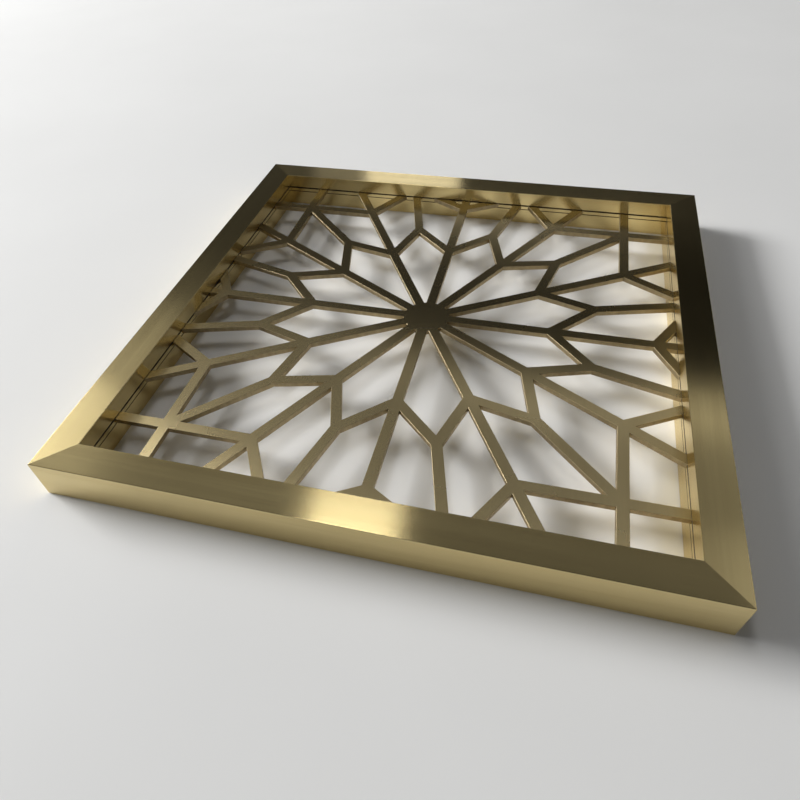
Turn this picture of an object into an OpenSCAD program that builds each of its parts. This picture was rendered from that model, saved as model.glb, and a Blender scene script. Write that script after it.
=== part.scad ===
// Framed laser cut metal screen: a rosette grille clamped in a mitred
// box frame.  It lies on its back, face up: X to the right, Y towards the
// top rail, Z towards the viewer.  The origin is the middle of the back.
// Every member is drawn once, for the bottom side or the bottom left
// corner, and turned by quarter turns to its place.

/* [Frame] */
// Clear opening between the inner walls, each way
opening = 500; // [480:5:600]
// Depth of the frame, back to front
frame_depth = 40; // [37:0.5:55]
// Width of the front face of each member
face_w = 30; // [28.5:0.5:40]
// Thickness of the folded sheet
frame_sheet = 1.5; // [1:0.1:2]
// Outer radius of its folds, which are grooved on the inside
fold_r = 0.5; // [0.3:0.1:1.2]
// Width of the back lip
lip_w = 12; // [11.5:0.5:14]
// Gap at the back between the frame's lip and the bead
back_joint = 1; // [0.5:0.1:2]

/* [Grille] */
// Thickness of the cut plate
panel_t = 5; // [3:0.5:6]
// Depth of the plate's front below the frame's face
panel_setback = 16.5; // [14:0.5:19]
// Width of every bar
bar_w = 10; // [7:0.5:13]
// Radius of the solid disc in the middle
hub_r = 24; // [20:0.5:30]
// Radius at which the star's sides leave the spokes
star_root_r = 128; // [118:1:136]
// Radius of the star's twelve points
star_point_r = 177; // [168:1:184]
// Distance from the middle to the four long branch lines
branch_line = 200; // [190:1:208]
// Gap between the plate's edge and the plane of the bead's outer wall
panel_edge_gap = 0.5; // [0.2:0.1:1.5]

/* [Beads] */
// Wall of the box bead
bead_sheet = 1.2; // [0.8:0.1:1.5]
// Outer radius of the box bead's edges, which are grooved in the same way
bead_edge_r = 0.6; // [0.3:0.1:1.2]

/* [Bead screws] */
// Screws along each side
screws_per_side = 4; // [2:1:6]
// Distance of the last screw from the corner of the opening
screw_margin = 70; // [50:5:110]
// Thread diameter
screw_d = 4; // [3:0.5:4]
// Length under the head
screw_len = 12; // [11:0.5:14]
// Diameter of the head
screw_head_d = 7.6; // [6.5:0.1:8.5]
// Height of the head
screw_head_h = 2.2; // [1.8:0.1:3]
// Width of the hexagon socket, across its flats
screw_socket = 2.5; // [2:0.5:3]
// Depth of the socket
socket_depth = 1.3; // [0.8:0.1:1.5]
// Room round a screw in the holes it passes through
screw_room = 0.5; // [0.2:0.1:1]
// Room round the head in the hole that the driver goes in by
driver_room = 1.4; // [0.5:0.1:2]
// Diameter of the pressed-in nut's shoulder
press_nut_d = 8; // [7.5:0.1:9]
// Height of its shoulder above the ledge
press_nut_h = 3; // [2:0.1:4]
// Diameter of its shank, pressed into the sheet
press_shank_d = 5.4; // [5:0.1:6]

/* [Corner cleats] */
// Length of each leg, from the outer corner
cleat_leg = 62; // [56:1:80]
// Height of the cleat
cleat_h = 26; // [20:1:30]
// Thickness of the cleat
cleat_t = 3; // [2:0.5:3]
// Outer bend radius of the cleat
cleat_bend_r = 5; // [3.5:0.5:8]
// Distance of the first stud from the outer corner
stud_first = 22; // [20:1:26]
// Distance between the two studs of a leg
stud_pitch = 26; // [20:1:28]
// Diameter of the weld stud
stud_d = 5; // [4:0.5:5]
// Diameter of the stud's weld flange
stud_flange_d = 6.5; // [6:0.1:7]
// Thickness of the weld flange
stud_flange_t = 0.8; // [0.5:0.1:1]
// Room round the weld flange in the cleat's hole
stud_room = 0.5; // [0.2:0.1:1]
// Length of stud that stands out of the nut
stud_proud = 0.8; // [0.5:0.1:1]
// Diameter of the nut's flange
nut_flange_d = 11.8; // [10:0.1:13]
// Thickness of the nut's flange
nut_flange_t = 1.2; // [0.8:0.1:1.5]
// Width of the nut across its flats
nut_flats = 8; // [7:0.5:9]
// Height of the nut with its flange
nut_h = 4.5; // [4:0.1:5]

/* [Fixing points] */
// Distance between the two fixing points of a stile
fixing_span = 400; // [340:5:420]
// Thread diameter of the fixing points
fixing_d = 5; // [4:0.5:6]
// Diameter of the fixing nut's shoulder
fixing_nut_d = 9.5; // [9:0.1:10]
// Height of its shoulder above the lip
fixing_nut_h = 3; // [2:0.1:4]
// Diameter of its shank, pressed into the lip
fixing_shank_d = 7; // [6.8:0.1:8]
// Gap between its shoulder and the outer wall
fixing_nut_gap = 0.5; // [0.3:0.1:1]

/* [Hidden] */
SIDES = ["bottom", "right", "top", "left"];
CORNERS = ["bottom_left", "bottom_right", "top_right", "top_left"];
$fn = 48;

thread_room = 0.1;                               // between a thread and its nut, on the diameter
outer = opening + 2 * face_w;                    // outside width of the frame
seat_z = frame_depth - panel_setback;            // underside of the ledge, front of the plate
bead_h = seat_z - panel_t;                       // the bead fills up to the plate's back
bead_w = face_w - lip_w - back_joint;            // the bead takes what the lip leaves
bead_mid = opening / 2 + bead_w / 2;             // line of the bead screws, from the middle
panel_side = opening + 2 * (bead_w - panel_edge_gap);
screw_pitch = (opening - 2 * screw_margin) / (screws_per_side - 1);
branch_r = branch_line / sin(60);                // radius at which the branches leave the spokes
stud_len = cleat_t + nut_h + stud_proud;
stud_hole_d = stud_flange_d + stud_room;
fixing_line = outer / 2 - frame_sheet - fixing_nut_gap - fixing_nut_d / 2;
sheet_tone = [0.72, 0.60, 0.36];
plate_tone = [0.60, 0.50, 0.30];
zinc_tone = [0.72, 0.73, 0.74];

function polar(r, a) = [r * cos(a), r * sin(a)];

// Turns the bottom side's, or the bottom left corner's, shape to place k
module turned(k) rotate(90 * k) children();

// What has to go from a square corner, its sides along +x and +y, to round
// it to radius r
module corner_waste(r) {
    difference() {
        translate([-1, -1]) square(r + 1);
        translate([r, r]) circle(r = r);
    }
}

// The same at corners of a rectangle, counted from the origin's: 0 to 3
module corner_wastes(size, r, at) {
    corners = [[0, 0], [size.x, 0], size, [0, size.y]];
    for (i = at) translate(corners[i]) rotate(90 * i) corner_waste(r);
}

// The bottom quarter of the square: its slanting sides are the mitres
module mitre_wedge() {
    linear_extrude(frame_depth)
        polygon([[0, 0], [-outer / 2, -outer / 2], [outer / 2, -outer / 2]]);
}

// Runs a section along the bottom side and mitres both ends; the section's
// x is the distance in from the outer face and its y the height
module mitred_length() {
    intersection() {
        translate([0, -outer / 2, 0]) rotate([90, 0, 90])
            linear_extrude(outer, center = true) children();
        mitre_wedge();
    }
}

// Puts its children at each screw of the bottom side, at height z
module at_screws(z) {
    for (i = [0 : screws_per_side - 1])
        translate([(i - (screws_per_side - 1) / 2) * screw_pitch, -bead_mid, z]) children();
}

// Puts its children at the two fixing points of a side, at the back
module at_fixings() {
    for (s = [-1, 1]) translate([s * fixing_span / 2, -fixing_line, 0]) children();
}

// Puts its children at each stud of the bottom left corner, on the inner
// face of the outer wall, with z pointing into the frame
module at_studs() {
    translate([-outer / 2, -outer / 2, frame_depth / 2])
        for (m = [0, 1]) mirror([m, -m, 0])
            for (i = [0, 1])
                translate([stud_first + i * stud_pitch, frame_sheet, 0])
                    rotate([-90, 0, 0]) children();
}

// ---- Frame member: one folded sheet ----

// Back lip, outer wall, front face, inner wall and ledge
module frame_section() {
    difference() {
        union() {
            square([lip_w, frame_sheet]);
            square([frame_sheet, frame_depth]);
            translate([0, frame_depth - frame_sheet]) square([face_w, frame_sheet]);
            translate([face_w - frame_sheet, seat_z]) square([frame_sheet, panel_setback]);
            translate([face_w - bead_w, seat_z]) square([bead_w, frame_sheet]);
        }
        corner_wastes([face_w, frame_depth], fold_r, [0, 2, 3]);
        translate([0, seat_z]) corner_wastes([face_w, panel_setback], fold_r, [1]);
    }
}

module frame_member(k) {
    color(sheet_tone) turned(k) difference() {
        mitred_length() frame_section();
        at_screws(seat_z - 1) cylinder(d = press_shank_d, h = frame_sheet + 2);
        if (k == 1 || k == 3)
            at_fixings() translate([0, 0, -1]) cylinder(d = fixing_shank_d, h = frame_sheet + 2);
    }
}

// ---- Grille: the rosette cut from one plate ----

module bar(from, to) {
    run = to - from;
    translate(from) rotate(atan2(run.y, run.x)) translate([0, -bar_w / 2])
        square([norm(run), bar_w]);
}

// One twelfth of the rosette, about the spoke at angle a
module petal_bars(a) {
    bar([0, 0], polar(panel_side, a));
    for (s = [-1, 1]) {
        bar(polar(star_root_r, a), polar(star_point_r, a + 15 * s));
        bar(polar(branch_r, a), polar(branch_r, a) + polar(panel_side, a + 60 * s));
    }
    on_diagonal = (a + 15) % 90 == 45;
    bar(polar(star_point_r, a + 15),
        polar(on_diagonal ? branch_line * sqrt(2) : panel_side, a + 15));
}

module rosette_outline() {
    intersection() {
        square(panel_side, center = true);
        union() {
            for (a = [0 : 30 : 330]) petal_bars(a);
            circle(r = hub_r, $fn = 96);
        }
    }
    difference() {
        square(panel_side, center = true);
        square(opening, center = true);
    }
}

module rosette_grille() {
    color(plate_tone) difference() {
        translate([0, 0, seat_z - panel_t]) linear_extrude(panel_t) rosette_outline();
        for (k = [0 : 3]) turned(k)
            at_screws(seat_z - panel_t - 1) cylinder(d = screw_d + screw_room, h = panel_t + 2);
    }
}

// ---- Retaining bead: a box section under the plate's rim ----

module bead_section() {
    translate([face_w - bead_w, 0]) difference() {
        square([bead_w, bead_h]);
        translate([bead_sheet, bead_sheet])
            square([bead_w - 2 * bead_sheet, bead_h - 2 * bead_sheet]);
        corner_wastes([bead_w, bead_h], bead_edge_r, [0 : 3]);
    }
}

module bead(k) {
    color(sheet_tone) turned(k) difference() {
        mitred_length() bead_section();
        at_screws(bead_h - bead_sheet - 1) cylinder(d = screw_d + screw_room, h = bead_sheet + 2);
        at_screws(-1) cylinder(d = screw_head_d + driver_room, h = bead_sheet + 2);
    }
}

module bead_screws(k) {
    color(zinc_tone) turned(k) at_screws(bead_h - bead_sheet) {
        difference() {
            translate([0, 0, -screw_head_h]) cylinder(d = screw_head_d, h = screw_head_h);
            translate([0, 0, -screw_head_h - 1])
                cylinder(d = screw_socket / cos(30), h = socket_depth + 1, $fn = 6);
        }
        cylinder(d = screw_d, h = screw_len);
    }
}

module press_nuts(k) {
    color(zinc_tone) turned(k) at_screws(seat_z) difference() {
        union() {
            cylinder(d = press_shank_d, h = frame_sheet);
            translate([0, 0, frame_sheet]) cylinder(d = press_nut_d, h = press_nut_h);
        }
        translate([0, 0, -1])
            cylinder(d = screw_d + thread_room, h = frame_sheet + press_nut_h + 2);
    }
}

// ---- Corner cleat: a bent plate held to the outer walls by studs ----

// A square with its corner at the origin rounded to radius r
module round_cornered(side, r) {
    difference() {
        square(side);
        corner_waste(r);
    }
}

// The L between two such squares, the inner one set in by the thickness
module cleat_outline() {
    difference() {
        translate([frame_sheet, frame_sheet])
            round_cornered(cleat_leg - frame_sheet, cleat_bend_r);
        translate([frame_sheet + cleat_t, frame_sheet + cleat_t])
            round_cornered(cleat_leg, cleat_bend_r - cleat_t);
    }
}

module cleat(k) {
    color(zinc_tone) turned(k) difference() {
        translate([-outer / 2, -outer / 2, (frame_depth - cleat_h) / 2])
            linear_extrude(cleat_h) cleat_outline();
        at_studs() translate([0, 0, -1]) cylinder(d = stud_hole_d, h = cleat_t + 2);
    }
}

module weld_studs(k) {
    color(zinc_tone) turned(k) at_studs() {
        cylinder(d = stud_d, h = stud_len);
        cylinder(d = stud_flange_d, h = stud_flange_t);
    }
}

module flange_nuts(k) {
    color(zinc_tone) turned(k) at_studs() translate([0, 0, cleat_t]) difference() {
        union() {
            cylinder(d = nut_flange_d, h = nut_flange_t);
            cylinder(d = nut_flats / cos(30), h = nut_h, $fn = 6);
        }
        translate([0, 0, -1]) cylinder(d = stud_d + thread_room, h = nut_h + 2);
    }
}

// ---- Fixing nuts: pressed into the stiles' back lips ----

module fixing_nuts() {
    color(zinc_tone) for (k = [1, 3]) turned(k) at_fixings() difference() {
        union() {
            cylinder(d = fixing_shank_d, h = frame_sheet);
            translate([0, 0, frame_sheet]) cylinder(d = fixing_nut_d, h = fixing_nut_h);
        }
        translate([0, 0, -1]) cylinder(d = fixing_d, h = frame_sheet + fixing_nut_h + 2);
    }
}

frame_member(0);  // bottom_rail
frame_member(1);  // right_stile
frame_member(2);  // top_rail
frame_member(3);  // left_stile
rosette_grille();
fixing_nuts();
for (k = [0 : 3]) {
    bead(k);
    bead_screws(k);
    press_nuts(k);
    cleat(k);
    weld_studs(k);
    flange_nuts(k);
}
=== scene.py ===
# %% [markdown]
# # A rosette screen in a folded, mitred frame
#
# The real screen is brushed stainless steel with a brass-toned coating. Four folded sheet
# members meet in plain mitres round a laser cut rosette, and the metal's grain runs along
# each member, which is what makes every corner read so clearly.
#
# The imported CAD model carries the sizes and the fit. This script dresses it: eased edges,
# grained metal and soft light. The model is loaded first.

import bpy
import numpy as np
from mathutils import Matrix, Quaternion, Vector
from mathutils.geometry import delaunay_2d_cdt


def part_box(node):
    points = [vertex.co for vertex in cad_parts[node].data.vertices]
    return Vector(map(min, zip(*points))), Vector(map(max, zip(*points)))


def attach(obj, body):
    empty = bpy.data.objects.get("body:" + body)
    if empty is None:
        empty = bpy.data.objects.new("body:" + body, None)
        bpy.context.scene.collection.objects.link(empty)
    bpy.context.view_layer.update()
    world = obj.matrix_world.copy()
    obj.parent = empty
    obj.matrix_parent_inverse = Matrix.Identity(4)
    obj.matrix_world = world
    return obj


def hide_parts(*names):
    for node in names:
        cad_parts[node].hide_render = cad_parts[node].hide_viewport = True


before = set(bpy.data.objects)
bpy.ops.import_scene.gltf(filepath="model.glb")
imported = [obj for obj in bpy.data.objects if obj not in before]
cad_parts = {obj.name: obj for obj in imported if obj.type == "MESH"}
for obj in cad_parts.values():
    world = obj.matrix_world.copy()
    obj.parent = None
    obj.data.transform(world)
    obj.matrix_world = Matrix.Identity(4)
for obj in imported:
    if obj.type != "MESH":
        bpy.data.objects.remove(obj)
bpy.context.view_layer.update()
MM = 0.001  # metres

# %% [markdown]
# ## Sizes
#
# Lengths that the solids show are read from their boxes, so this script follows the part
# when a size changes. The few that no box can show are written down, as on a drawing. All
# shapes are worked out in millimetres and become metres when they are put into a mesh.

# %% Sizes, in millimetres
def span(node):
    """Lowest and highest corner of a node's box."""
    return (np.round(np.array(corner) / MM, 3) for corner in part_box(node))


rail_low, rail_high = span("bottom_rail")
HALF, DEPTH, FACE = rail_high[0], rail_high[2], rail_high[1] - rail_low[1]
plate_low, plate_high = span("rosette_grille")
PLATE_HALF, PLATE_BACK, SEAT = plate_high[0], plate_low[2], plate_high[2]
bead_low, bead_high = span("bead_bottom")
BEAD, BEAD_H = bead_high[1] - bead_low[1], bead_high[2]
INNER = HALF - FACE  # half of the clear opening

SHEET, BEAD_SHEET = 1.5, 1.2  # thickness of the folded sheet, and of the bead's wall
LIP = 12.0  # width of the frame's back lip
FOLD_R, BEAD_R = 0.5, 0.6  # outer radius of the folds, and of the bead's edges
BAR, HUB = 10.0, 24.0  # width of a bar, radius of the middle disc
STAR_ROOT, STAR_POINT = 128.0, 177.0  # from the middle to the star's inner and outer corners
BRANCH_LINE = 200.0  # from the middle to the lines on which the branches run
SCREW_PITCH = 120.0  # from one bead screw to the next
SCREWS = (np.arange(4) - 1.5) * SCREW_PITCH  # places of the bead screws along a side
FIXINGS = np.array([-200.0, 200.0])  # places of the fixing nuts along a stile
SCREW_LINE, FIXING_LINE = 21.5, 6.75  # in from the outer face
PRESS_HOLE, FIXING_HOLE = 2.7, 3.5  # radii of the holes that pressed-in nuts fill
SCREW_HOLE, DRIVER_HOLE = 2.25, 4.5  # radii of the holes for a screw and its driver
print("opening", 2 * INNER, "depth", DEPTH, "plate", SEAT - PLATE_BACK, "thick, its front at", SEAT)

# %% [markdown]
# ## From arrays to a mesh
#
# Every new piece below is a pile of faces, each given corner by corner as x, y, z and a
# place on the metal's grain. One function welds equal corners and makes the mesh, so the
# shapes themselves can stay plain array sums. A mesh could also be grown face by face, but
# whole arrays are shorter and faster. The grain map runs its U along the brush lines and
# its V across them, in millimetres, so one brushed material fits every side.

# %% Weld faces into a closed piece
WELD_DIGITS = 4  # corners that agree to so many digits of a millimetre are one vertex
CREASE = 25  # degrees; a steeper edge between two faces stays sharp


def put_piece(name, patches, materials, node):
    """Makes a mesh from patches and puts it on the part in place of a node.

    A patch is a pair: an array of faces x corners x (x, y, z, u, v), and the number of its
    material.
    """
    corners = np.concatenate([p.reshape(-1, 5) for p, _ in patches])
    places = np.round(corners[:, :3], WELD_DIGITS)
    vertices, index = np.unique(places, axis=0, return_inverse=True)
    faces, start = [], 0
    for p, _ in patches:
        faces += index.ravel()[start : start + p.size // 5].reshape(p.shape[:2]).tolist()
        start += p.size // 5
    mesh = bpy.data.meshes.new(name)
    mesh.from_pydata((vertices * MM).tolist(), [], faces)
    mesh.uv_layers.new(name="grain").data.foreach_set("uv", (corners[:, 3:] * MM).ravel())
    for m in materials:
        mesh.materials.append(m)
    numbers = np.concatenate([np.full(len(p), m) for p, m in patches])
    mesh.polygons.foreach_set("material_index", numbers.astype(np.int32))
    mesh.polygons.foreach_set("use_smooth", np.ones(len(faces), bool))
    mesh.set_sharp_from_angle(angle=np.radians(CREASE))
    piece = bpy.data.objects.new(name, mesh)
    bpy.context.scene.collection.objects.link(piece)
    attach(piece, "root")
    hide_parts(node)
    # In a closed piece each edge belongs to two faces.
    uses = np.zeros(len(mesh.edges), int)
    loops = np.zeros(len(mesh.loops), int)
    mesh.loops.foreach_get("edge_index", loops)
    np.add.at(uses, loops, 1)
    print(f"{name}: {len(faces)} faces, {int((uses != 2).sum())} open edges")


# %% [markdown]
# ## Flats with holes
#
# A laser cuts the rosette out of one flat plate, and the beads and lips are flats with
# round holes in them. A boolean with one cutter for each opening could make them, but the
# plate alone has 80 openings, and booleans are slow and can leave stray points. Filling the
# flat is a job for a constrained Delaunay net instead: it lays triangles between the
# outlines and keeps every cut edge exactly where it was drawn.

# %% Fill a flat outline but not its holes
NET_INSIDE = 1  # the kind of net that has triangles only inside the outlines
NET_GAP = 1e-7  # corners nearer than this are one


def fill_flat(outline, holes=()):
    """Triangles x 3 corners x 2 between a counter-clockwise outline and such holes in it."""
    loops = [np.asarray(outline), *holes]
    corners = np.concatenate(loops)
    ends = np.cumsum([len(loop) for loop in loops])
    rings = [list(range(end - len(loop), end)) for loop, end in zip(loops, ends)]
    points = [Vector(c) for c in corners.tolist()]
    net = delaunay_2d_cdt(points, [], rings, NET_INSIDE, NET_GAP)
    _, _, triangles, first, _, inside = net
    # A triangle in ring 0 alone is metal, and one that lies in a hole's ring too is not.
    kept = [t for t, rings_round in zip(triangles, inside) if set(rings_round) == {0}]
    found = corners[[f[0] for f in first]][np.array(kept)]
    a, b = found[:, 1] - found[:, 0], found[:, 2] - found[:, 0]
    backwards = a[:, 0] * b[:, 1] < a[:, 1] * b[:, 0]
    found[backwards] = found[backwards, ::-1]
    return found


def circle(x, y, radius, steps=32):
    """A counter-clockwise ring of points: (x, y) + radius (cos t, sin t)."""
    t = np.arange(steps) * 2 * np.pi / steps
    return np.stack([x + radius * np.cos(t), y + radius * np.sin(t)], 1)


test = fill_flat([(0, 0), (4, 0), (4, 4), (0, 4)], [circle(2, 2, 1)])
first_edge, last_edge = (test[:, 1:] - test[:, :1]).transpose(1, 2, 0)
area = 0.5 * (first_edge[0] * last_edge[1] - first_edge[1] * last_edge[0]).sum()
print("a 4 x 4 flat with a hole of radius 1 keeps an area of", round(float(area), 2))

# %% [markdown]
# ## A folded section
#
# Sheet for such a frame is grooved along each bend before it is folded, so the bend is
# crisp: half a millimetre of radius, just enough to catch a thin line of light. A Bevel
# modifier on the finished member could round the folds, but it would round the mitres too,
# and those stay sharp, so that a member meets its neighbour. So the section is drawn with
# square corners and the folds are rounded afterwards: an arc that touches both sides, with
# one more point a little way along each side so that the shading of the wide flats stays
# even.

# %% Round the folds of a section
HOLD = 0.3  # how far the extra points lie from a fold


def rounded(corners, radii, steps=6):
    """A closed outline whose square corners have the given radii; 0 stays sharp.

    Arc: centre + r (cos t n1 + sin t n2), where n1 and n2 are the outward normals of the
    sides before and after the corner and the centre is the corner + r (after - before).
    """
    c = np.asarray(corners, float)
    r = np.asarray(radii, float)[:, None, None]
    run = np.roll(c, -1, 0) - c
    after = run / np.linalg.norm(run, axis=1, keepdims=True)
    before = np.roll(after, 1, 0)
    n1, n2 = (np.stack([d[:, 1], -d[:, 0]], 1)[:, None] for d in (before, after))
    before, after = before[:, None], after[:, None]
    t = np.linspace(0, np.pi / 2, steps + 1)[None, :, None]
    arc = c[:, None] + r * (after - before) + r * (np.cos(t) * n1 + np.sin(t) * n2)
    points = np.concatenate([arc[:, :1] - HOLD * before, arc, arc[:, -1:] + HOLD * after], 1)
    # A sharp corner keeps one point, the corner itself.
    keep = np.ones(points.shape[:2], bool)
    keep[r[:, 0, 0] == 0] = np.arange(steps + 3) == 1
    return points[keep]


LEDGE = FACE - BEAD
member_section = rounded(
    [(0, 0), (LIP, 0), (LIP, SHEET), (SHEET, SHEET), (SHEET, DEPTH - SHEET),
     (FACE - SHEET, DEPTH - SHEET), (FACE - SHEET, SEAT + SHEET), (LEDGE, SEAT + SHEET),
     (LEDGE, SEAT), (FACE, SEAT), (FACE, DEPTH), (0, DEPTH)],
    [FOLD_R, 0, 0, 0, 0, 0, 0, 0, 0, FOLD_R, FOLD_R, FOLD_R],
)
bead_outside = rounded([(LEDGE, 0), (FACE, 0), (FACE, BEAD_H), (LEDGE, BEAD_H)], [BEAD_R] * 4)
low, high = (LEDGE + BEAD_SHEET, BEAD_SHEET), (FACE - BEAD_SHEET, BEAD_H - BEAD_SHEET)
bead_inside = np.array([low, (low[0], high[1]), high, (high[0], low[1])])
print("member section:", len(member_section), "points")
print("bead section:", len(bead_outside), "points outside and", len(bead_inside), "inside")

# %% [markdown]
# ## Along a side, from mitre to mitre
#
# A mitred length is a section carried along a straight path, whose two ends are cut at 45
# degrees. Cut that way, a point u millimetres in from the outer face travels from
# x = -(HALF - u) to x = HALF - u, so the mitre needs no cutting at all: it is in the
# formula. Flats that have holes are filled with the net above, and each hole gets its wall.

# %% Flats and walls that carry holes
def pierces(hole, p, q):
    """True where a hole (x, u, radius, lower z, upper z) opens in the flat from p to q."""
    return p[1] == q[1] and p[1] in hole[3:] and (p[0] - hole[1]) * (q[0] - hole[1]) < 0


def bored_flat(p, q, v, holes):
    """The flat between section points p and q, which lie at one height, less its holes.

    Its outline is a trapezium: at u from the outer face it ends at x = +-(HALF - u).
    """
    near, far = min(p[0], q[0]), max(p[0], q[0])
    edge = [(near - HALF, near), (HALF - near, near), (HALF - far, far), (far - HALF, far)]
    x, u = np.moveaxis(fill_flat(edge, [circle(*h[:3]) for h in holes]), -1, 0)
    face = np.stack([x, u - HALF, 0 * x + p[1], x, v + abs(u - p[0])], -1)
    return face[:, ::-1] if q[0] > p[0] else face


def hole_wall(x0, u0, radius, lower, upper):
    """The wall of a round hole from a lower to an upper height, facing its axis."""
    ring = circle(x0, u0, radius)
    ahead = np.roll(ring, -1, 0)
    x, u = np.stack([ring, ring, ahead, ahead], 1).transpose(2, 0, 1)
    z = np.broadcast_to([lower, upper, upper, lower], x.shape)
    around = (np.arange(len(ring))[:, None] + [0, 0, 1, 1]) * radius * 2 * np.pi / len(ring)
    return np.stack([x, u - HALF, z, z, around], -1)


# %% Carry a section along the bottom side
def mitred_length(loops, holes=()):
    """Patches of a section whose first loop is its outline and whose second, if any, its hollow.

    Section point (u, z) at place x along the side lies at (x, u - HALF, z), with |x| <= HALF - u.
    A hole is (x, u, radius, lower z, upper z).
    """
    patches = []
    for loop in loops:
        following = np.roll(loop, -1, 0)
        run = np.linalg.norm(following - loop, axis=1)
        v = np.cumsum(run) - run
        plain = np.ones(len(loop), bool)
        for i, (p, q) in enumerate(zip(loop, following)):
            mine = [h for h in holes if pierces(h, p, q)]
            if mine:
                plain[i] = False
                patches.append(bored_flat(p, q, v[i], mine))
        u, z = np.stack([loop, following, following, loop], 1).transpose(2, 0, 1)
        across = np.stack([v, v + run, v + run, v], 1)
        x = (HALF - u) * [-1, -1, 1, 1]
        patches.append(np.stack([x, u - HALF, z, x, across], -1)[plain])
    patches += [hole_wall(*h) for h in holes]
    u, z = np.moveaxis(fill_flat(loops[0], [loop[::-1] for loop in loops[1:]]), -1, 0)
    patches.append(np.stack([HALF - u, u - HALF, z, u, z], -1))
    patches.append(np.stack([u - HALF, u - HALF, z, u, z], -1)[:, ::-1])
    return patches


# %% Part off the seam's painted shade, turn a side to its place
SPARE = 0.01  # keeps the corners of a fold clear of the limit that picks them


def split_off_fold_shade(patches, z, radius):
    """Pairs of a patch and a number: 1 for the fold beside the plate at height z, painted as shade,
    else 0.
    """
    reach = radius + HOLD + SPARE
    pairs = []
    for p in patches:
        # The fold that meets the plate is picked out here; it gets the dark brown of painted shade.
        on_fold = (p[..., 1] > FACE - reach - HALF) & (abs(p[..., 2] - z) < reach)
        dark = on_fold.all(1)
        pairs += [(p[~dark], 0), (p[dark], 1)]
    return pairs


def turned(pairs, quarters):
    """Turns patches about Z by quarter turns: once takes (x, y) to (-y, x)."""
    c, s = [(1, 0), (0, 1), (-1, 0), (0, -1)][quarters]
    out = []
    for p, number in pairs:
        q = p.copy()
        q[..., 0], q[..., 1] = c * p[..., 0] - s * p[..., 1], s * p[..., 0] + c * p[..., 1]
        out.append((q, number))
    return out


press_holes = [(x, SCREW_LINE, PRESS_HOLE, SEAT, SEAT + SHEET) for x in SCREWS]
fixing_holes = [(x, FIXING_LINE, FIXING_HOLE, 0.0, SHEET) for x in FIXINGS]
driver_holes = [(x, SCREW_LINE, DRIVER_HOLE, 0.0, BEAD_SHEET) for x in SCREWS]
screw_holes = [(x, SCREW_LINE, SCREW_HOLE, BEAD_H - BEAD_SHEET, BEAD_H) for x in SCREWS]
rail = split_off_fold_shade(mitred_length([member_section], press_holes), SEAT, FOLD_R)
stile = split_off_fold_shade(mitred_length([member_section], press_holes + fixing_holes), SEAT, FOLD_R)
bead = mitred_length([bead_outside, bead_inside], driver_holes + screw_holes)
bead = split_off_fold_shade(bead, BEAD_H, BEAD_R)
counts = [sum(len(p) for p, _ in pairs) for pairs in (rail, stile, bead)]
print("faces of a rail, a stile and a bead:", counts)

# %% [markdown]
# ## The rosette's cells
#
# The grille could be drawn as bars, but then every crossing has to be merged. It is easier
# to draw what is cut away: 64 cells. Each lies between centre lines of bars, so a cell is a
# polygon of centre-line crossings whose every side is moved in by half a bar, or by nothing
# where it meets the frame. One eighth of the square holds all the kinds; mirroring and
# quarter turns make the rest, and the twelve petals round the hub come from one by turns of
# 30 degrees.

# %% Outlines from crossings
ARC_POINTS = 7  # points on the hub's arc between two spokes


def at(radius, degrees):
    """The point (radius cos t, radius sin t) at an angle t from the x axis."""
    return radius * np.cos(np.radians(degrees)), radius * np.sin(np.radians(degrees))


def cell_outline(crossings, halves, grow=0.0):
    """Corners of a cell: its sides, centre lines moved inwards, meet where both hold.

    Side i runs from crossing i to i + 1, has n as its unit normal into the cell, and lies on
    n . p = n . crossing + half width - grow; corner i is where sides i - 1 and i meet.
    """
    c = np.asarray(crossings, float)
    run = np.roll(c, -1, 0) - c
    n = np.stack([-run[:, 1], run[:, 0]], 1) / np.linalg.norm(run, axis=1, keepdims=True)
    offset = (n * c).sum(1) + np.asarray(halves, float) - grow
    pairs = np.stack([np.roll(n, 1, 0), n], 1)
    return np.linalg.solve(pairs, np.stack([np.roll(offset, 1), offset], 1)[..., None])[..., 0]


def petal_outline(a, grow=0.0):
    """The cell between the spokes at a and a + 30 degrees, its inner tip cut by the hub's arc."""
    four = [(0, 0), at(STAR_ROOT, a), at(STAR_POINT, a + 15), at(STAR_ROOT, a + 30)]
    r, half = HUB - grow, BAR / 2 - grow
    slip = np.degrees(np.arcsin(half / r))
    arc = np.stack(at(r, np.linspace(a + 30 - slip, a + slip, ARC_POINTS)), 1)
    return np.concatenate([arc, cell_outline(four, [BAR / 2] * 4, grow)[1:]])


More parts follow.
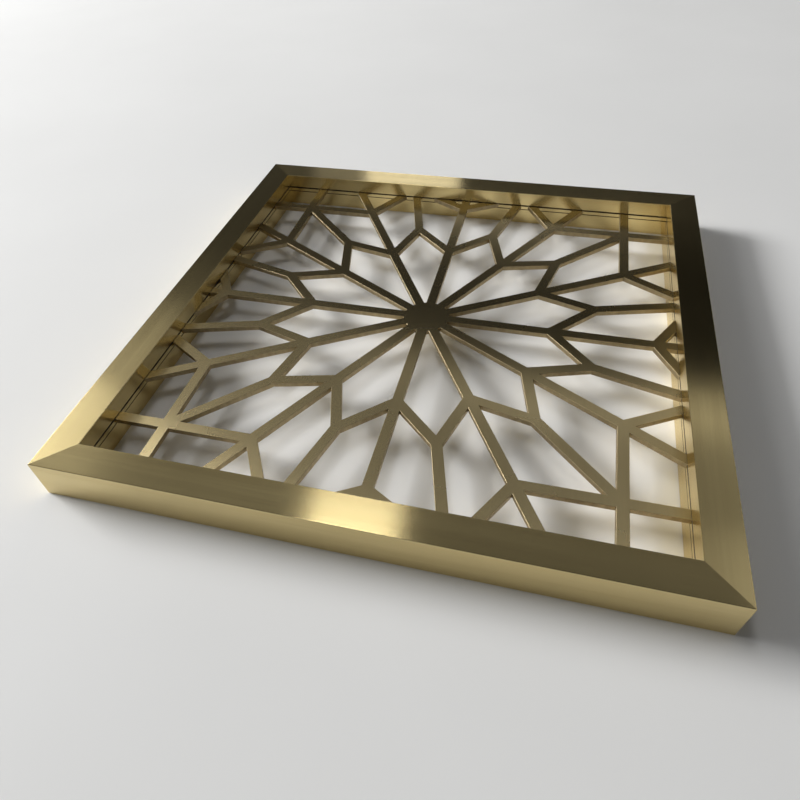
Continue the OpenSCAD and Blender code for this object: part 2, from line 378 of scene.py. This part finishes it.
# %% The cells of one eighth, and all 64
b = BAR / 2  # half a bar
STEEP = 3**0.5  # slope of a line at 60 degrees, and 1 / STEEP that of one at 30
branch_reach = BRANCH_LINE / np.sin(np.pi / 3)  # how far out the branches meet
fork, knee = at(branch_reach, 0), at(branch_reach, 30)
cross = (BRANCH_LINE, BRANCH_LINE)
wall_heights = {  # where centre lines meet the frame, counted from the middle of the side
    "middle": 0.0,
    "fork": (INNER - fork[0]) * STEEP,
    "ray": INNER * np.tan(np.radians(15)),
    "down": knee[1] - (INNER - knee[0]) / STEEP,
    "spoke": INNER / STEEP,
    "line": BRANCH_LINE,
    "corner": INNER,
}
wall = {name: (INNER, y) for name, y in wall_heights.items()}
eighth = [
    ([at(STAR_ROOT, 0), fork, wall["fork"], wall["ray"], at(STAR_POINT, 15)], [b, b, 0, b, b]),
    ([at(STAR_POINT, 15), wall["ray"], wall["down"], knee, at(STAR_ROOT, 30)], [b, 0, b, b, b]),
    ([at(STAR_ROOT, 30), knee, cross, at(STAR_POINT, 45)], [b, b, b, b]),
    ([fork, wall["middle"], wall["fork"]], [b, 0, b]),
    ([knee, wall["down"], wall["spoke"]], [b, 0, b]),
    ([knee, wall["spoke"], wall["line"], cross], [b, 0, b, b]),
]
corner_cell = ([cross, wall["line"], wall["corner"], (BRANCH_LINE, INNER)], [b, 0, 0, b])
QUARTER = np.array([[0, -1], [1, 0]])
turns = [np.linalg.matrix_power(QUARTER, k).T for k in range(4)]


def every_cell(grow):
    """Outlines of all 64 cells, counter-clockwise, grown by so much all round."""
    cells = [petal_outline(a, grow) for a in range(0, 360, 30)]
    for crossings, halves in eighth:
        one = cell_outline(crossings, halves, grow)
        flipped = (one * [1, -1])[::-1]
        cells += [outline @ turn for turn in turns for outline in (one, flipped)]
    return cells + [cell_outline(*corner_cell, grow) @ turn for turn in turns]


cells = every_cell(0)
petal_width = np.linalg.norm(cells[0][-1] - cells[0][-3])
print(len(cells), "cells, a petal", round(float(petal_width), 1), "mm wide")

# %% [markdown]
# ## The cut plate
#
# A laser leaves square edges with a fine burr, which an abrasive pad takes off. What is
# left is a slope a tenth of a millimetre wide, as dull as the cut walls, so it softens each
# cell's outline and never glints. A Bevel modifier could make the slope, but the walls and
# the seam need faces of their own in any case. So five rows of points go round each cell:
# between them lie the eased edge in front, the cut wall in two bands, and the eased edge
# behind. The two flats are filled between the outermost rows.
#
# Round the opening the plate's edge lies in the plane of the frame's inner faces and is
# brushed with them. Just in front of it, in the groove beside the fold, shade gathers into a
# fine dark line, and that line is painted shade: a narrow band along the groove gets a dark colour
# of its own.

# %% Build the plate with eased edges
EASE = 0.12  # width of the eased edges, in millimetres
# The plate's top band beside the fold is painted shade, down to this depth.
SHADE_REACH = 1.2  # how far the dark seam reaches down the plate's edge, in millimetres


def openings(grow):
    """Outlines of the cells and the screw holes, grown by so much all round."""
    holes = [circle(x, SCREW_LINE - HALF, SCREW_HOLE + grow) for x in SCREWS]
    return every_cell(grow) + [hole @ turn for hole in holes for turn in turns]


def flush(start, end):
    """True for each wall that lies in the plane of the frame's inner faces."""
    on_plane = np.isclose(abs(start), INNER) & np.isclose(abs(end), INNER)
    return on_plane.any(-1)


def cut_plate():
    """Patches of the flats, of the cut walls, of the flush edges and of the seam's painted shade.

    Each row of points is a cell's outline, or that outline grown by EASE, at one height, and
    a band of faces joins two rows. The plate's rim is one more outline, with its faces
    turned outwards.
    """
    square = np.array([(-1, -1), (1, -1), (1, 1), (-1, 1)])
    rims = [square * (PLATE_HALF - g) for g in (0, EASE)]
    at_face = openings(EASE)
    x, y = np.moveaxis(fill_flat(rims[1], at_face), -1, 0)
    flats = [np.stack([x, y, 0 * x + z, y, x], -1) for z in (SEAT, PLATE_BACK)]
    faces, walls, edges, painted_shade_bands = [flats[0], flats[1][:, ::-1]], [], [], []
    outlines = [(w, f, True) for w, f in zip(openings(0), at_face)] + [(*rims, False)]
    for wall_row, face_row, inward in outlines:
        rows = np.stack([face_row, wall_row, wall_row, wall_row, face_row])
        heights = [SEAT, SEAT - EASE, SEAT - SHADE_REACH, PLATE_BACK + EASE, PLATE_BACK]
        z = np.array(heights)[:, None] + 0 * rows[..., 0]
        run = np.linalg.norm(np.roll(wall_row, -1, 0) - wall_row, axis=1)
        v = np.cumsum(run) - run
        here = np.concatenate([rows, z[..., None], z[..., None], (v + 0 * z)[..., None]], -1)
        ahead = np.roll(here, -1, 1)
        ahead[..., 4] = v + run
        band = np.stack([here[:-1], ahead[:-1], ahead[1:], here[1:]], 2)
        if not inward:
            band = band[:, :, ::-1]
        side = flush(wall_row, np.roll(wall_row, -1, 0))
        walls += list(band[:, ~side])
        along = band[:, side][..., [0, 1, 2, 4, 3]]
        # The top bands of a flush edge are painted shade; the rest is brushed like the frame.
        painted_shade_bands += list(along[:2])
        edges += list(along[2:])
    return faces, walls, edges, painted_shade_bands


plate_faces, plate_walls, plate_edges, plate_painted_shade = cut_plate()
on_flats, on_walls = (sum(map(len, patches)) for patches in (plate_faces, plate_walls))
print("plate:", on_flats, "faces on the two flats,", on_walls, "on the walls")

# %% [markdown]
# ## Brushed, brass-toned metal
#
# Brushing scratches the sheet in one direction, so it mirrors sharply along the grain and
# smears light widely across it. Scratches drawn as bump could do that, but real ones are
# thinner than a pixel and would only sparkle. The shader does it by itself: its tangent
# follows the grain map, and anisotropy stretches the gloss by up to ten to one. Fine and
# broad streaks then vary tone, gloss and height a little along the same map, and faint
# clouds over the whole object stand for the uneven vapour coating and for handling. The
# plate is brushed finer and duller than the frame, and a laser's cut is duller and browner
# than either.

# %% Material helpers
def new_material(name):
    """A material, its node tree and its shader."""
    material = bpy.data.materials.new(name)
    material.use_nodes = True
    tree = material.node_tree
    return material, tree, tree.nodes["Principled BSDF"]


def add(tree, kind, inputs=None, **settings):
    """A node with its settings, its inputs set by name or number, or linked to a socket."""
    node = tree.nodes.new(kind)
    for key, value in settings.items():
        setattr(node, key, value)
    for key, value in (inputs or {}).items():
        if isinstance(value, bpy.types.NodeSocket):
            tree.links.new(value, node.inputs[key])
        else:
            node.inputs[key].default_value = value
    return node


# %% Noise, ranges and sums
def noise(tree, vector, scale, detail=3.0, stretch=None):
    """Noise from 0 to 1 about 0.5, on a vector that is first stretched."""
    if stretch:
        vector = add(tree, "ShaderNodeMapping", {"Vector": vector, "Scale": stretch}).outputs[0]
    inputs = {"Vector": vector, "Scale": scale, "Detail": detail}
    return add(tree, "ShaderNodeTexNoise", inputs).outputs["Fac"]


def ranged(tree, value, low, high, start=0.3, end=0.7):
    """Carries start..end to low..high, and no further."""
    inputs = {0: value, 1: start, 2: end, 3: low, 4: high}
    return add(tree, "ShaderNodeMapRange", inputs).outputs[0]


def mixed(tree, factor, first, second):
    """Colour between two, by a factor; either may be a socket."""
    node = add(tree, "ShaderNodeMix", data_type="RGBA")
    for key, value in {0: factor, 6: first, 7: second}.items():
        if isinstance(value, bpy.types.NodeSocket):
            tree.links.new(value, node.inputs[key])
        else:
            node.inputs[key].default_value = value
    return node.outputs[2]


def figured(tree, operation, *values):
    """The result of a Math node on two or three values, each a number or a socket."""
    inputs = dict(enumerate(values))
    return add(tree, "ShaderNodeMath", inputs, operation=operation).outputs[0]


def summed(tree, first, second, weight=1.0):
    """first x weight + second."""
    return figured(tree, "MULTIPLY_ADD", first, weight, second)


# %% Brushed metal along the grain map
STREAK, BROAD_STREAK = 9.0, 2.2  # how often streaks begin and end in a metre of grain
BROADER, SCRATCHES = 9.0, 3.3  # broad streaks are so much wider, scratches so much finer
FINE_WEIGHT, STREAK_RANGE = 0.6, (0.55, 1.05)  # fine x weight + broad stays about in here
CLOUDS_A_METRE, CLOUD_TONE, CLOUD_GLOSS = 7.0, 0.35, (-0.02, 0.03)
QUARTER_TURN = 0.25  # turns the stretched gloss across the grain


def brushed(name, pale, deep, gloss, stretch_of_gloss, lines, relief):
    """pale and deep are the two tones, gloss the least and most roughness.

    lines is how many streaks cross a metre, relief the depth of the scratches in metres.
    """
    material, tree, shader = new_material(name)
    grain = add(tree, "ShaderNodeUVMap", uv_map="grain").outputs[0]
    place = add(tree, "ShaderNodeTexCoord").outputs["Object"]
    fine = noise(tree, grain, 1.0, detail=4.0, stretch=(STREAK, lines, 1.0))
    broad = noise(tree, grain, 1.0, detail=2.0, stretch=(BROAD_STREAK, lines / BROADER, 1.0))
    clouds = noise(tree, place, CLOUDS_A_METRE)
    streaks = summed(tree, fine, broad, FINE_WEIGHT)
    tone = mixed(tree, ranged(tree, streaks, 0.0, 1.0, *STREAK_RANGE), pale, deep)
    tone = mixed(tree, ranged(tree, clouds, 0.0, CLOUD_TONE), tone, deep)
    rough = ranged(tree, streaks, *gloss, *STREAK_RANGE)
    rough = summed(tree, ranged(tree, clouds, *CLOUD_GLOSS), rough)
    scratches = noise(tree, grain, 1.0, detail=2.0, stretch=(STREAK, SCRATCHES * lines, 1.0))
    relief_inputs = {"Height": scratches, "Strength": 1.0, "Distance": relief}
    bump = add(tree, "ShaderNodeBump", relief_inputs)
    tangent = add(tree, "ShaderNodeTangent", direction_type="UV_MAP", uv_map="grain")
    shader.inputs["Metallic"].default_value = 1.0
    shader.inputs["Anisotropic"].default_value = stretch_of_gloss
    shader.inputs["Anisotropic Rotation"].default_value = QUARTER_TURN
    tree.links.new(tone, shader.inputs["Base Color"])
    tree.links.new(rough, shader.inputs["Roughness"])
    tree.links.new(bump.outputs[0], shader.inputs["Normal"])
    tree.links.new(tangent.outputs[0], shader.inputs["Tangent"])
    return material


# %% The three finishes of sheet and plate, and the seam's painted shade
frame_brass = brushed(
    "frame_brass", (0.77, 0.63, 0.315, 1), (0.69, 0.55, 0.265, 1),
    gloss=(0.165, 0.185), stretch_of_gloss=1.0, lines=900.0, relief=6e-6)
plate_brass = brushed(
    "plate_brass", (0.84, 0.69, 0.375, 1), (0.77, 0.62, 0.33, 1),
    gloss=(0.266, 0.269), stretch_of_gloss=1.0, lines=400.0, relief=2e-7)
cut_edge = brushed(
    "cut_edge", (0.46, 0.375, 0.225, 1), (0.34, 0.27, 0.155, 1),
    gloss=(0.42, 0.52), stretch_of_gloss=0.3, lines=1500.0, relief=1e-5)
# Not a finish but painted shade: a dark, dull brown for the groove beside each fold at the plate,
# where shade gathers.
seam_painted_shade = brushed(
    "seam_painted_shade", (0.10, 0.08, 0.05, 1), (0.05, 0.04, 0.028, 1),
    gloss=(0.45, 0.6), stretch_of_gloss=0.3, lines=1500.0, relief=1e-5)
print("materials:", [m.name for m in (frame_brass, plate_brass, cut_edge, seam_painted_shade)])

# %% Put the sheet metal pieces together
sides = ["bottom", "right", "top", "left"]
members = {"bottom_rail": rail, "right_stile": stile, "top_rail": rail, "left_stile": stile}
# The second look is painted shade, on the folds beside the plate.
sheet_looks = [frame_brass, seam_painted_shade]
for k, (node, pairs) in enumerate(members.items()):
    bead_name = "box_bead_" + sides[k]
    put_piece(node + "_sheet", turned(pairs, k), sheet_looks, node)
    put_piece(bead_name, turned(bead, k), sheet_looks, "bead_" + sides[k])

plate_kinds = [plate_faces, plate_walls, plate_edges, plate_painted_shade]
# The plate's fourth look is painted shade, on the top of its flush edge.
plate_looks = [plate_brass, cut_edge, frame_brass, seam_painted_shade]
plate_pairs = [(p, number) for number, patches in enumerate(plate_kinds) for p in patches]
put_piece("rosette_plate", plate_pairs, plate_looks, "rosette_grille")

# %% [markdown]
# ## Zinc-plated fittings
#
# Cleats, studs, nuts and screws sit inside the frame and show only through the driver holes
# and the fixing points at the back. Their solids already have the right shape, so they stay
# and only get a finish: bright zinc, slightly blue, clouded, with a fine pitted skin.

# %% Zinc for the fittings
ZINC_PALE, ZINC_DEEP = (0.74, 0.755, 0.78, 1), (0.60, 0.62, 0.66, 1)
ZINC_GLOSS = (0.28, 0.42)  # least and most roughness
CLOUD_SCALE, PIT_SCALE = 160.0, 2600.0  # clouds and pits to a metre
PIT_DEPTH, PIT_STRENGTH = 0.00005, 0.15  # metres, and how much of it the light shows
FITTINGS = ("cleat_", "weld_", "flange_", "press_", "fixing_", "bead_screws_")


def zinc_plate():
    """Zinc whose tone and gloss go with the same clouds, over pits that only catch light."""
    material, tree, shader = new_material("bright_zinc")
    place = add(tree, "ShaderNodeTexCoord").outputs["Object"]
    clouds = noise(tree, place, CLOUD_SCALE)
    pits = noise(tree, place, PIT_SCALE, detail=2.0)
    tone = mixed(tree, ranged(tree, clouds, 0.0, 1.0), ZINC_PALE, ZINC_DEEP)
    pit_inputs = {"Height": pits, "Strength": PIT_STRENGTH, "Distance": PIT_DEPTH}
    bump = add(tree, "ShaderNodeBump", pit_inputs)
    shader.inputs["Metallic"].default_value = 1.0
    tree.links.new(tone, shader.inputs["Base Color"])
    tree.links.new(ranged(tree, clouds, *ZINC_GLOSS), shader.inputs["Roughness"])
    tree.links.new(bump.outputs[0], shader.inputs["Normal"])
    return material


zinc = zinc_plate()
fittings = [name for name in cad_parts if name.startswith(FITTINGS)]
for name in fittings:
    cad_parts[name].data.materials.clear()
    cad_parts[name].data.materials.append(zinc)
print(len(fittings), "nodes of fittings in zinc")

# %% [markdown]
# ## Stage and light
#
# Brushed metal has little to show of its own: what it shows is the room. So the floor is
# plain and pale, and each lamp is placed for what the metal or the floor makes of it.
#
# A strong softbox far to the left and about 23 degrees up throws the bars' soft shadows
# across the floor. The larger, dimmer panel behind it is what the left stile's near end
# mirrors. The strip overhead makes the short bright band in the middle of the near rail,
# because the grain there keeps a lamp narrow along the rail and smears it across. The strip
# far behind does the same on the far rail, and a dimmer one beside it softens the band's
# left end. Dim pieces of ceiling end a little under 4 metres ahead, and there the upper
# faces turn from khaki to nearly black. The corner piece lies where the right stile's near
# end looks, past the end of what the near rail looks at, so the mitre between them stands
# out. It hangs a little lower than the piece it overlaps, because where two lamps lie in
# one plane, gloss finds only one of them. The last piece hangs over the near side, for
# whoever walks round the screen.
#
# The lamps are far off and large rather than close and small, so that the floor stays even.

# %% Floor
FLOOR_HALF = 2.5  # metres, half of the floor's side
FLOOR_GAP = 0.0002  # metres, keeps the floor clear of the screen's back
FLOOR_DEEP, FLOOR_PALE = (0.78, 0.78, 0.77, 1), (0.81, 0.81, 0.80, 1)
FLOOR_ROUGHNESS = 0.75
MOTTLES_A_METRE = 3.0


def stage_floor():
    """A square under the screen, of one tone but for a faint mottle."""
    material, tree, shader = new_material("pale_floor")
    place = add(tree, "ShaderNodeTexCoord").outputs["Object"]
    mottle = ranged(tree, noise(tree, place, MOTTLES_A_METRE), 0.0, 1.0)
    tone = mixed(tree, mottle, FLOOR_DEEP, FLOOR_PALE)
    tree.links.new(tone, shader.inputs["Base Color"])
    shader.inputs["Roughness"].default_value = FLOOR_ROUGHNESS
    mesh = bpy.data.meshes.new("floor")
    corners = np.array([(-1, -1, 0), (1, -1, 0), (1, 1, 0), (-1, 1, 0)]) * FLOOR_HALF
    mesh.from_pydata((corners - [0, 0, FLOOR_GAP]).tolist(), [], [(0, 1, 2, 3)])
    mesh.materials.append(material)
    floor = bpy.data.objects.new("floor", mesh)
    bpy.context.scene.collection.objects.link(floor)


stage_floor()
print("floor:", 2 * FLOOR_HALF, "m square")

# %% A lamp and a piece of ceiling
CEILING = 3.5  # metres above the floor


def lamp(name, place, aim, size, brightness, spin=0.0):
    """A rectangular lamp at a place, turned to face a point, as bright to look at as given.

    The watts of such a lamp are pi x width x height x brightness. Places and sizes are in
    metres; spin, in degrees, turns the lamp about its own line of sight.
    """
    data = bpy.data.lights.new(name, "AREA")
    data.shape, data.size, data.size_y = "RECTANGLE", size[0], size[1]
    data.energy = np.pi * size[0] * size[1] * brightness
    lamp_object = bpy.data.objects.new(name, data)
    lamp_object.location = place
    way = Vector(aim) - Vector(place)
    turn = way.to_track_quat("-Z", "Y") @ Quaternion((0, 0, 1), np.radians(spin))
    lamp_object.rotation_euler = turn.to_euler()
    bpy.context.scene.collection.objects.link(lamp_object)


def ceiling_lamp(name, x, y, size, brightness, height=CEILING):
    """A lamp that hangs over (x, y) and faces straight down."""
    lamp(name, (x, y, height), (x, y, 0.0), size, brightness)


# %% Hang the lamps
lamp("left_softbox", (-9.3, 1.5, 4.05), (0.0, 1.5, 0.0), (3.9, 2.25), 43.0)
lamp("left_panel", (-9.6, 1.9, 5.1), (0.0, 1.9, 0.0), (8.4, 4.35), 4.6, spin=12.0)
ceiling_lamp("overhead_strip", -0.88, 0.7, (0.66, 1.5), 5.0)
lamp("far_strip", (-1.85, 8.0, 2.6), (0.0, 0.0, 0.0), (1.3, 2.0), 2.8)
lamp("far_shoulder", (-2.9, 8.0, 2.6), (0.0, 0.0, 0.0), (0.8, 2.0), 0.40)
ceiling_lamp("ceiling_left", -4.6, 2.7, (2.8, 2.5), 0.60)
ceiling_lamp("ceiling_middle", -2.25, 2.7, (1.8, 2.5), 0.22)
ceiling_lamp("ceiling_right", 0.675, 2.3, (2.45, 1.8), 0.16)
ceiling_lamp("ceiling_far_right", 3.95, 2.3, (4.1, 1.8), 0.24)
ceiling_lamp("ceiling_corner", 2.85, 1.8, (2.0, 1.2), 0.40, CEILING - 0.1)
ceiling_lamp("ceiling_edge", 2.75, 3.48, (6.6, 0.5), 0.55)
ceiling_lamp("ceiling_near", 0.0, -3.6, (9.0, 4.4), 0.12)

# %% [markdown]
# ## A dome, half dark and half pale
#
# In a studio, black cloth and white boards would decide what the metal mirrors. Here a dome
# stands round the stage instead. It is dark where the upper faces look in the picture, and
# darkest to the right, because that is what lets the far bars go nearly black and the right
# stile's far end blacker still. Everywhere it turns pale at the horizon, and beside and
# behind the camera the pale part reaches higher. That higher part is shown only to the
# camera, to gloss and to glass, so it is mirrored and seen from the other sides but puts no
# light on the floor.

# %% Dome
DARK_WAY = (-0.1, 0.75, 0.65)  # the middle of what the upper faces mirror
ROOM_DARK, ROOM_DARKEST = (0.036, 0.036, 0.036, 1), (0.006, 0.006, 0.006, 1)
ROOM_PALE = (0.62, 0.62, 0.61, 1)
TO_DARKEST = (-0.5, 0.15)  # the way's x where the dark tone starts to fall and is lowest
HORIZON_FALL = 0.00005  # how much of the horizon's glow is left straight up
AWAY, TOWARDS = -0.2, 0.5  # cosines of the angle to DARK_WAY, fully beside it and within it
LOW, HIGH = 0.18, 0.40  # heights where the pale part beside the camera starts to end and ends


def dome():
    """Pale = the larger of HORIZON_FALL ^ height and (beside x low x seen).

    height is the sine of the elevation, beside goes from 0 towards DARK_WAY to 1 away from
    it, low from 1 to 0 as the height grows, and seen is 1 for camera, gloss and glass. The
    dark tone goes from ROOM_DARK to ROOM_DARKEST from left to right.
    """
    world = bpy.data.worlds.new("dome")
    bpy.context.scene.world = world
    world.use_nodes = True
    tree = world.node_tree
    way = add(tree, "ShaderNodeTexCoord").outputs["Generated"]
    parts = add(tree, "ShaderNodeSeparateXYZ", {0: way}).outputs
    height = parts["Z"]
    to_right = ranged(tree, parts["X"], 0.0, 1.0, *TO_DARKEST)
    dark = mixed(tree, to_right, ROOM_DARK, ROOM_DARKEST)
    horizon = figured(tree, "POWER", HORIZON_FALL, height)
    dot = add(tree, "ShaderNodeVectorMath", {0: way, 1: DARK_WAY}, operation="DOT_PRODUCT")
    beside = ranged(tree, dot.outputs["Value"], 1.0, 0.0, AWAY, TOWARDS)
    low = ranged(tree, height, 1.0, 0.0, LOW, HIGH)
    ray = add(tree, "ShaderNodeLightPath").outputs
    seen = summed(tree, ray["Is Glossy Ray"], ray["Is Camera Ray"])
    seen = summed(tree, ray["Is Transmission Ray"], seen)
    shown = figured(tree, "MULTIPLY", figured(tree, "MULTIPLY", beside, seen), low)
    tone = mixed(tree, figured(tree, "MAXIMUM", horizon, shown), dark, ROOM_PALE)
    tree.links.new(tone, tree.nodes["Background"].inputs["Color"])


dome()
print("dome:", bpy.context.scene.world.name)

# %% [markdown]
# ## Camera
#
# The photograph was taken from in front of the near rail, a little right of its middle and
# 0.42 metres up, looking down at about 48 degrees. Place, turn and lens were solved from
# the frame's corners and edges, and the small shift puts the screen where it is in the
# picture.

# %% Camera
SENSOR, LENS = 36.0, 27.287  # millimetres
SHIFT = (0.0130, 0.0326)  # shares of the picture's width
CAMERA_PLACE = (0.10918, -0.50565, 0.42270)  # metres
CAMERA_TURN = (42.143, 2.607, 14.487)  # degrees about x, y and z

camera_data = bpy.data.cameras.new("camera")
camera_data.sensor_width, camera_data.lens = SENSOR, LENS
camera_data.shift_x, camera_data.shift_y = SHIFT
camera = bpy.data.objects.new("camera", camera_data)
camera.location = CAMERA_PLACE
camera.rotation_euler = np.radians(CAMERA_TURN)
bpy.context.scene.collection.objects.link(camera)
bpy.context.scene.camera = camera
bpy.context.scene.view_settings.view_transform = "Standard"
print("camera at", [round(c, 3) for c in camera.location])
